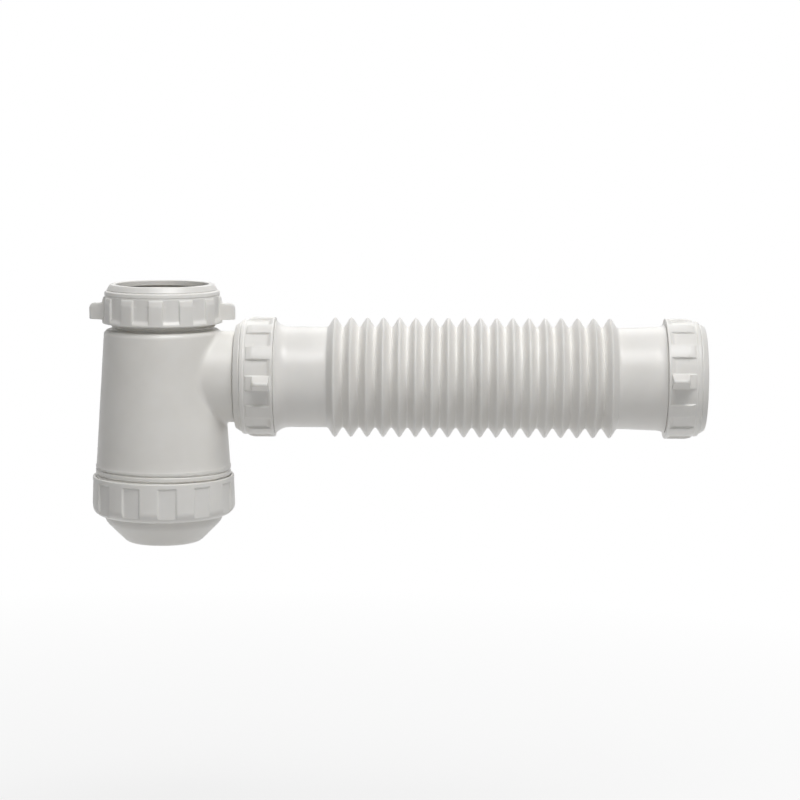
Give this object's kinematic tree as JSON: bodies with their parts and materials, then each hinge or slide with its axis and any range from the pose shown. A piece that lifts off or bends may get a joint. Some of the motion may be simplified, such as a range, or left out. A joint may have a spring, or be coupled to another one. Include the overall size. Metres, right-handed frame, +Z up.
{
  "type": "sink trap",
  "caption": "Bottle trap for a sink with an inlet compression nut on top, a screw-off cup below and a corrugated pipe to the wall with its own compression nut.",
  "frame": {"origin": "middle of the stop in the inlet socket, where the end of the 40 mm waste pipe rests", "axes": "+Z up along the bottle towards the sink, +X along the outlet pipe towards the wall"},
  "size_m": [0.2766, 0.0658, 0.1163],
  "materials": {
    "bottle_plastic": "gloss",
    "nut_plastic": "gloss",
    "pipe_plastic": "gloss",
    "ring_plastic": "satin",
    "seal_rubber": "matte"
  },
  "bodies": {
    "trap": {"trap_body": "bottle_plastic", "dip_tube": "bottle_plastic", "inlet_cone_seal": "seal_rubber", "coupling_cone_seal": "seal_rubber"},
    "inlet_ring": {"inlet_slip_ring": "ring_plastic"},
    "inlet_nut": {"inlet_nut": "nut_plastic"},
    "base_cup": {"base_cup": "bottle_plastic", "base_gasket": "seal_rubber"},
    "base_nut": {"base_nut": "nut_plastic"},
    "coupling_ring": {"coupling_slip_ring": "ring_plastic"},
    "coupling_nut": {"coupling_nut": "nut_plastic"},
    "pipe": {"flexible_pipe": "pipe_plastic"},
    "outlet_end": {"outlet_cone_seal": "seal_rubber"},
    "outlet_ring": {"outlet_slip_ring": "ring_plastic"},
    "outlet_nut": {"outlet_nut": "nut_plastic"}
  },
  "joints": [
    {"name": "inlet_ring_lift", "type": "slide", "parent": "trap", "child": "inlet_ring", "axis": [0, 0, 1], "range_m": [0, 0.01155]},
    {"name": "inlet_nut_turn", "type": "hinge", "parent": "inlet_ring", "child": "inlet_nut", "pos_m": [0, 0, 0], "axis": [0, 0, 1], "range_deg": [0, 1800]},
    {"name": "base_cup_drop", "type": "slide", "parent": "trap", "child": "base_cup", "axis": [0, 0, -1], "range_m": [0, 0.00743]},
    {"name": "base_nut_turn", "type": "hinge", "parent": "base_cup", "child": "base_nut", "pos_m": [0, 0, 0], "axis": [0, 0, -1], "range_deg": [0, 990]},
    {"name": "coupling_ring_slide", "type": "slide", "parent": "trap", "child": "coupling_ring", "axis": [-1, 0, 0], "range_m": [0, 0.00174]},
    {"name": "coupling_nut_turn", "type": "hinge", "parent": "coupling_ring", "child": "coupling_nut", "pos_m": [0, 0, -0.0192], "axis": [-1, 0, 0], "range_deg": [0, 270]},
    {"name": "pipe_bend", "type": "hinge", "parent": "trap", "child": "pipe", "pos_m": [0.10699, 0, -0.0192], "axis": [0, 0, 1], "range_deg": [-45, 45], "deforming": ["flexible_pipe"]},
    {"name": "pipe_stretch", "type": "slide", "parent": "pipe", "child": "outlet_end", "axis": [1, 0, 0], "range_m": [-0.02, 0.024], "deforming": ["flexible_pipe"]},
    {"name": "outlet_ring_slide", "type": "slide", "parent": "outlet_end", "child": "outlet_ring", "axis": [1, 0, 0], "range_m": [0, 0.01155]},
    {"name": "outlet_nut_turn", "type": "hinge", "parent": "outlet_ring", "child": "outlet_nut", "pos_m": [0, 0, -0.0192], "axis": [1, 0, 0], "range_deg": [0, 1800]}
  ],
  "couplings": [
    {"joint": "inlet_ring_lift", "follows": "inlet_nut_turn", "m_per_rad": 0.00036749},
    {"joint": "base_cup_drop", "follows": "base_nut_turn", "m_per_rad": 0.00042972},
    {"joint": "coupling_ring_slide", "follows": "coupling_nut_turn", "m_per_rad": 0.00036749},
    {"joint": "outlet_ring_slide", "follows": "outlet_nut_turn", "m_per_rad": 0.00036749}
  ]
}
